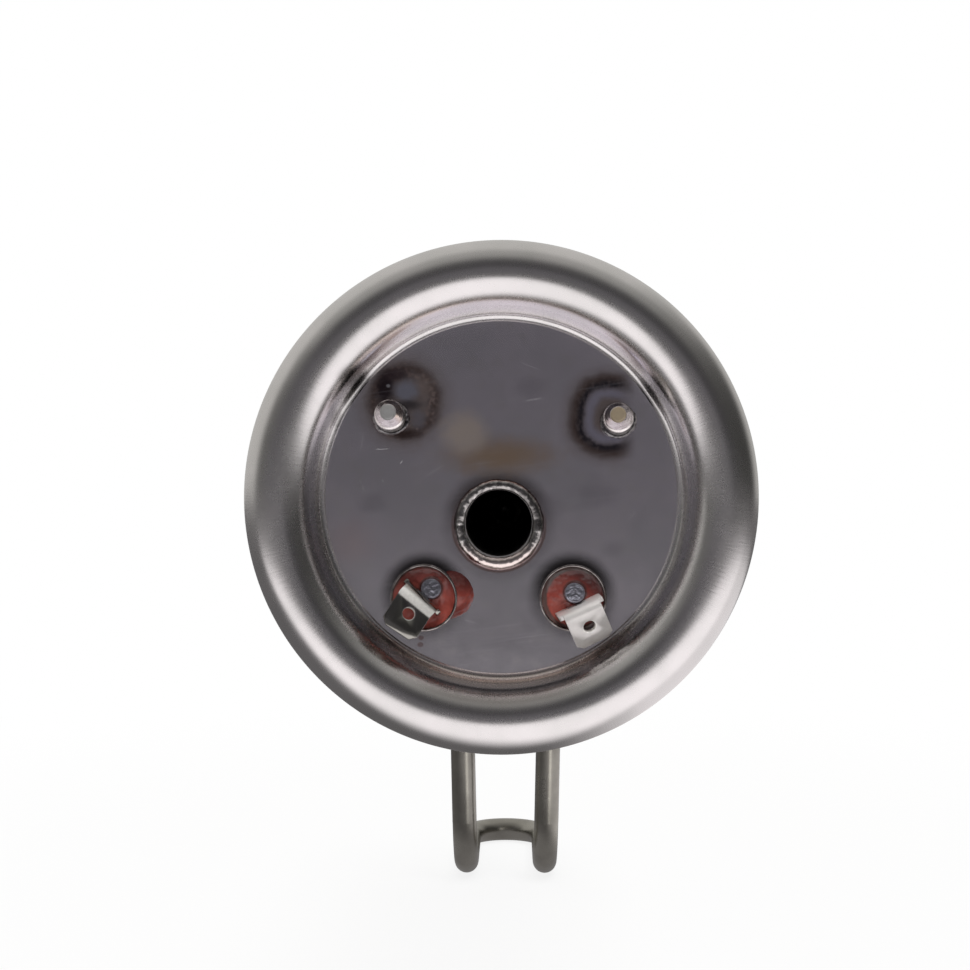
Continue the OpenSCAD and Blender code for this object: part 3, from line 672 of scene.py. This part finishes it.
for side, name in SIDES.items():
    stud = sheet_of(f"stud_{name}_threaded", 64, 260, stud_point(side))
    finish_piece(stud, STUD, "stud_" + name, angle=42)
    stand = stud_frame(side)
    flash = lumpy_ring(f"stud_flash_{name}", STUD_R, lambda turn: FLASH_R * (0.85 + 0.25 * math.sin(turn * 2 + 1)),
                       lambda x, y, z: stand @ Vector((x, y, z + 0.05)), 0.45, 20.0 + side)
    finish_piece(flash, FLASH, "stud_weld_" + name, angle=60)
    weld = lumpy_ring(f"sleeve_braze_{name}", SLEEVE_R + 0.05, 0.86,
                      lambda x, y, z, side=side: (HAIRPIN_X + side * END_HALF + x, WET_Y + z, RUN_Z + y), 0.15, 30.0)
    finish_piece(weld, WELD, "sleeve_weld_" + name, angle=60)


# Terminals

def sleeve_place(side):
    """A cup with a thin rounded rim, slightly out of true, and its narrow neck."""
    neck = TUBE_R + 0.06
    section = [(neck, TUBE_END), (CUP_R, TUBE_END), (CUP_R, SLEEVE_EDGE + 0.20)]
    section += [(r, y) for r, y in arc(CUP_R + 0.14, SLEEVE_EDGE + 0.14, 0.14, 180, 270, 4)]
    section += [(r, y) for r, y in arc(SLEEVE_R - 0.16, SLEEVE_EDGE + 0.16, 0.16, 270, 360, 4)]
    section += [(SLEEVE_R, CUP_END - 0.3), (SLEEVE_R - 0.3, CUP_END), (neck + SLEEVE_WALL, CUP_END)]
    section += [(neck + SLEEVE_WALL, CUP_END + NECK_LENGTH), (neck, CUP_END + NECK_LENGTH)]
    return section


BOW_Y = FOOT_END_Y - FOOT_HALF
RUN = LEG_Y - TUBE_END
DROP = RUN_Z - FOOT_Z


def bend(radius, degrees):
    return shift(radius, 0, 0) @ turned("Y", degrees) @ shift(-radius, 0, 0)


def tube_end_frame():
    """Walks the right half of the hairpin from the foot's end to the tube's end."""
    lean = math.radians(LEG_LEAN)
    turn = math.asin((FOOT_HALF + DROP * math.tan(lean) - END_HALF) / RUN)
    rise = (DROP - RUN * math.sin(turn) * math.sin(lean)) / math.cos(lean)
    walk = shift(0, FOOT_END_Y, FOOT_Z) @ turned("Y", 90) @ turned("Z", -90) @ bend(FOOT_HALF, 90)
    walk = walk @ shift(0, 0, BOW_Y - LEG_Y - ANKLE_R) @ turned("Z", -90 - LEG_LEAN) @ bend(ANKLE_R, 90)
    walk = walk @ shift(0, 0, rise - ANKLE_R - KNEE_R) @ turned("Z", 180 - math.degrees(turn)) @ bend(KNEE_R, 90)
    return walk @ shift(0, 0, RUN - KNEE_R)


def pin_frame(side):
    """The middle of a pin's end, its own Z pointing out of the tank, drawn for the right side."""
    end = PIN_ENDS[side]
    down, out = RUN_Z - end[1], side * (end[0] - HAIRPIN_X) - END_HALF
    heading = math.degrees(math.atan2(out, down))
    reach, off = TUBE_END - PIN_END_Y, math.hypot(down, out)
    corner = PIN_BEND_R * math.tan(math.atan(off / reach) / 2)
    lean = math.atan(off / (reach - corner))
    corner = PIN_BEND_R * math.tan(lean / 2)
    straight = (reach - corner) / math.cos(lean) - corner
    walk = tube_end_frame() @ turned("Z", heading) @ bend(PIN_BEND_R, math.degrees(lean))
    return walk @ shift(0, 0, straight) @ turned("Z", -heading)


def to_side(side, point):
    return Vector((side * point.x + HAIRPIN_X, point.y, point.z))


def seal_place(side):
    """Silicone set in the cup: lumpy, drawn up at the wall and at the pin."""
    middle = HAIRPIN_X + side * END_HALF
    pin_x, pin_z = PIN_ENDS[side]

    def place(u, v):
        turn = 2 * math.pi * u
        if v > 0.9:
            return middle + CUP_R * (1 - v) * 10 * math.cos(turn), 14.0, RUN_Z + CUP_R * (1 - v) * 10 * math.sin(turn)
        r = (CUP_R - 0.005) * min(v / 0.8, 1.0)
        x, z = middle + r * math.cos(turn), RUN_Z + r * math.sin(turn)
        y = SEAL_Y + 0.05 + 0.20 * ripple((x, 0, z), 1.5, 2.0 * side) + 0.07 * ripple((x, 0, z), 0.6, 4.0)
        y -= 0.50 * math.exp(-(CUP_R - r) / 0.40)
        y -= 0.55 * math.exp(-max(math.hypot(x - pin_x, z - pin_z) - PIN_R, 0.0) / 0.45)
        if side == LEFT:
            y -= 0.35 * ease(math.cos(turn + 0.1), 0.55, 1.0) * ease(r, 3.2, 5.0)
        return x, y + (14.0 - y) * max(v - 0.8, 0.0) * 10, z
    return place


def pin_cap(side):
    """The pin's rough sawn end, a little mushroomed."""
    stand = pin_frame(side)

    def place(u, v):
        turn = 2 * math.pi * u
        r, height = along([(0.0, 0.06), (PIN_R - 0.20, 0.06), (PIN_R - 0.02, -0.08), (PIN_R + 0.05, -0.32),
                           (PIN_R + 0.01, -0.75), (0.0, -0.75)], v)
        spot = (r * math.cos(turn), r * math.sin(turn), height)
        rough = 0.07 * ripple(spot, 0.55, side) + 0.035 * ripple(spot, 0.22, side + 3)
        r += 0.05 * ripple(spot, 1.2, side + 9) * ease(r, 0.8, 1.5)
        return to_side(side, stand @ Vector((r * math.cos(turn), r * math.sin(turn), height + rough)))
    return place


for side, name in SIDES.items():
    middle = HAIRPIN_X + side * END_HALF
    sleeve = lathe(f"sleeve_{name}_rimmed", sleeve_place(side), 128)
    move(sleeve, lambda x, y, z: (
        middle + x * (1 + 0.012 * ripple((x, y, z), 5.0, side) * ease(y, 12, 7)), y + 0.05 * ripple((x, 0, z), 4.0, side)
        * ease(y, 8, 6.5), RUN_Z + z * (1 + 0.012 * ripple((x, y, z), 5.0, side) * ease(y, 12, 7))))
    finish_piece(sleeve, SLEEVE, "end_sleeve_" + name, angle=40)
    seal = sheet_of(f"silicone_{name}_poured", 128, 80, seal_place(side))
    finish_piece(seal, SILICONE, "silicone_seal_" + name, angle=70)
    cap = sheet_of(f"pin_end_{name}", 72, 60, pin_cap(side))
    finish_piece(cap, PIN, angle=60)


def spill_shape():
    """Silicone that ran over the left sleeve's edge: a blob set against the sleeve."""
    bpy.ops.object.select_all(action="DESELECT")
    bpy.ops.mesh.primitive_ico_sphere_add(subdivisions=6, radius=SPILL_R * MM)
    blob = bpy.context.object
    blob.name = blob.data.name = "silicone_run_over"

    def place(x, y, z):
        swell = 1 + 0.025 * ripple((x, y, z), 2.2, 11.0) + 0.03 * ripple((x, y, z), 0.8, 12.0)
        x, y, z = x * swell, y * swell, z * swell
        x -= 0.10 * max(-z - 1.0, 0.0)
        return SPILL_X + x * (1.08 if x > 0 else 1.0), DISC_Y + SPILL_SINK + y, SPILL_Z + z * (0.95 + 0.12 * max(x, 0.0) / SPILL_R) - 0.1
    move(blob, place)
    cut(blob, SLEEVE_R - 0.03, 40, (HAIRPIN_X - END_HALF, 0, RUN_Z), sides=128)
    active(blob)
    bpy.ops.object.mode_set(mode="EDIT")
    bpy.ops.mesh.select_all(action="SELECT")
    bpy.ops.mesh.bisect(plane_co=(0, (DISC_Y + 0.02) * MM, 0), plane_no=(0, 1, 0), threshold=1e-8,
                        use_fill=True, clear_outer=True)
    bpy.ops.object.mode_set(mode="OBJECT")
    edit(blob, close_up)
    return blob


finish_piece(spill_shape(), SILICONE, "silicone_spill", angle=60)


# Tabs

def flat_tab(name, tab):
    """The strip before it is folded: X along it from its root, Y across, Z through it."""
    _, _, fold_angle, fold_r, height, length, skew, _ = tab
    folds = math.sin(math.radians(fold_angle)) if fold_angle < 90 else 1
    start = TAB_ROOT + height - (fold_r + TAB_T) * folds
    end = start + (fold_r + TAB_T / 2) * math.radians(fold_angle)
    half, lean = TAB_W / 2, math.radians(skew)

    def blade(s, w):
        return end + w * math.sin(lean) + s * math.cos(lean), w * math.cos(lean) - s * math.sin(lean)
    side = half / math.cos(lean)
    foot = FOOT_W / 2
    points = [(0, -foot), (start - 0.15, -foot), (start + 0.10, -foot + 0.3), (start + 0.12, -side), (end, -side),
              blade(length - TIP_CORNER, -half), blade(length, TIP_CORNER - half), blade(length, half - TIP_CORNER),
              blade(length - TIP_CORNER, half), (end, side), (start + 0.12, side), (start + 0.10, foot - 0.3),
              (start - 0.15, foot), (0, foot)]
    obj = outline(name, points)
    edit(obj, lambda: bpy.ops.mesh.edge_face_add(), lambda: bpy.ops.mesh.normals_make_consistent(inside=False))
    apply(obj, "SOLIDIFY", thickness=TAB_T * MM, offset=0.0)
    hole = blade(length - HOLE_IN, 0)
    cut(obj, HOLE_R, 6, (hole[0], hole[1], 0), (0, 0, 0), 64)
    # the bevel's start, then the round of the edges, then cuts across the strip for the fold
    on = blade(length - TIP_BEVEL, 0)

    def bisect(x, y, normal):
        bpy.ops.mesh.select_all(action="SELECT")
        bpy.ops.mesh.bisect(plane_co=(x * MM, y * MM, 0), plane_no=normal)
    edit(obj, lambda: bisect(*on, (math.cos(lean), -math.sin(lean), 0)))

    def thin(x, y, z):
        s = (x - end) * math.cos(lean) - y * math.sin(lean)
        return x, y, z * (1 - (1 - TIP_T / TAB_T) * min(max((s - length + TIP_BEVEL) / TIP_BEVEL, 0.0), 1.0))
    move(obj, thin)
    apply(obj, "BEVEL", width=0.09 * MM, segments=2, limit_method="ANGLE", angle_limit=math.radians(40))
    count = 20
    for i in range(count + 1):
        edit(obj, lambda: bisect(start + (end - start) * i / count, 0, (1, 0, 0)))
    return obj, start, end


def folded(side, tab, start, end):
    """Puts a point of the flat strip where folding takes it."""
    turn, lean, fold_angle, fold_r, _, _, _, across = tab
    foot = pin_frame(side) @ turned("Z", turn) @ shift(PIN_R - TAB_SINK + TAB_T / 2, across, -TAB_ROOT)
    foot = foot @ turned("Y", lean)

    def place(s, w, h):
        share = min(max((s - start) / (end - start), 0.0), 1.0)
        rest = s - start if s < start else max(s - end, 0.0)
        frame_of = foot @ shift(0, 0, start) @ bend(fold_r + TAB_T / 2, fold_angle * share)
        return to_side(side, frame_of @ Vector((-h, w, rest)))
    return place


for side, name in SIDES.items():
    tab, start, end = flat_tab(f"tab_{name}_folded", TABS[side])
    move(tab, folded(side, TABS[side], start, end))
    edit(tab, close_up)
    finish_piece(tab, TAB[side], "tab_" + name, angle=35)


# Camera, floor, lamp and studio

def look_along(obj, direction):
    obj.rotation_euler = Vector(direction).to_track_quat("-Z", "Y").to_euler()


camera_data = bpy.data.cameras.new("camera")
camera_data.lens = 60.0
camera_data.sensor_width = 36.0
camera_data.clip_start = 0.01
camera = bpy.data.objects.new("camera", camera_data)
bpy.context.scene.collection.objects.link(camera)
camera.location = (1.99 * MM, -253.5 * MM, 0.59 * MM)
look_along(camera, (-0.01745, 0.99983, 0.0052))
bpy.context.scene.camera = camera

bpy.ops.object.select_all(action="DESELECT")
bpy.ops.mesh.primitive_plane_add(size=12, location=(0, 0, -0.1186))
floor = bpy.context.object
floor.name = "floor"


def floor_look():
    """A pale floor: white to the camera; to steel it glows as painted light, brightest in front and to the right and a
    little brighter round the tube's foot, and dim elsewhere, a painted shade on the object's shadow side.
    """
    look = Look("pale_floor", Roughness=0.9)
    p, x, y, z = look.place()
    rays = look.node("ShaderNodeLightPath")
    seen, mirrored = rays[0], rays[3]
    look.set(Base_Color=look.mix(look.noise(p, 400.0), (0.83, 0.83, 0.83), (0.86, 0.86, 0.86)))
    front = (y + x.rise(40.0, -220.0) * 90.0).rise(30.0, -46.0)
    right = x.rise(15.0, 90.0)
    near = (x * x + y * y).root().rise(600.0, 410.0)
    foot = (x * x + (y - 290.0) ** 2.0).root().rise(115.0, 35.0)
    clear = (x * x + (y - 270.0) ** 2.0).root().rise(70.0, 420.0)
    # painted light: the glow that steel sees in the floor, with painted shade where it stays dim
    card = 0.14 + front.top(right * 0.72) * near * 1.05 + foot * 0.16
    glow = look.node("ShaderNodeEmission", None, look.mix(seen, (1.0, 0.968, 0.985), (1.0, 1.0, 1.0)),
                     seen + mirrored * card)[0]
    mixed = look.node("ShaderNodeMixShader", None, seen * (0.86 + clear * 0.14) + mirrored,
                      Value(look, look.shader.outputs[0]), glow)[0]
    look.feed(look.nodes["Material Output"].inputs["Surface"], mixed)
    return look.material


floor.data.materials.append(floor_look())

sun_data = bpy.data.lights.new("overhead", "SUN")
sun_data.energy = 2.4
sun_data.angle = math.radians(40)
sun = bpy.data.objects.new("overhead", sun_data)
bpy.context.scene.collection.objects.link(sun)
look_along(sun, (-0.15, 0.50, -1.0))
sun.visible_glossy = False

# A narrow card of light beside the legs, seen only in their steel
strip_data = bpy.data.lights.new("strip", "AREA")
strip_data.shape = "RECTANGLE"
strip_data.size, strip_data.size_y = 36.0 * MM, 90.0 * MM
strip_data.energy = 0.011
strip_data.color = (1.0, 0.99, 0.94)
strip = bpy.data.objects.new("strip", strip_data)
bpy.context.scene.collection.objects.link(strip)
strip.location = (54.0 * MM, 144.0 * MM, -72.0 * MM)
look_along(strip, (-0.49, 0.87, 0.0))
strip.visible_camera = strip.visible_diffuse = False


class Studio(Look):
    """The studio's walls: white to the camera, and a plain soft room to everything else."""

    def __init__(self, tree):
        self.nodes, self.links = tree.nodes, tree.links


world = bpy.data.worlds.new("studio")
bpy.context.scene.world = world
world.use_nodes = True
studio = Studio(world.node_tree)
direction = studio.node("ShaderNodeTexCoord")[0]
dx, dy, dz = studio.node("ShaderNodeSeparateXYZ", None, direction)[:3]
flat_x = dx / (dx * dx + dz * dz + 0.0001).root()
to_right, to_left = flat_x.rise(0.45, 0.95), flat_x.rise(-0.60, -0.98)
upper = 0.145 - dy.rise(-0.975, -0.90) * 0.08 + dy.rise(-0.80, -0.40) * 0.30 + dy.rise(-0.30, 0.10) * 0.22
right_wall = 0.145 - dy.rise(-0.99, -0.85) * 0.09 + dy.rise(0.15, 0.75) * 0.45
left_wall = 0.135 + dy.rise(-0.45, 0.0) * 0.42
room = upper + to_right * (right_wall - upper)
room = room + to_left * (left_wall - room)
seen = studio.node("ShaderNodeLightPath")[0]
tint = studio.mix(dy.rise(-0.95, -0.5), (0.97, 0.93, 1.0), (1.0, 0.985, 0.955))
studio.feed(studio.nodes["Background"].inputs["Color"], studio.mix(seen, tint, (1.0, 1.0, 1.0)))
studio.feed(studio.nodes["Background"].inputs["Strength"], seen + (1.0 - seen) * room)

bpy.context.scene.view_settings.view_transform = "Standard"
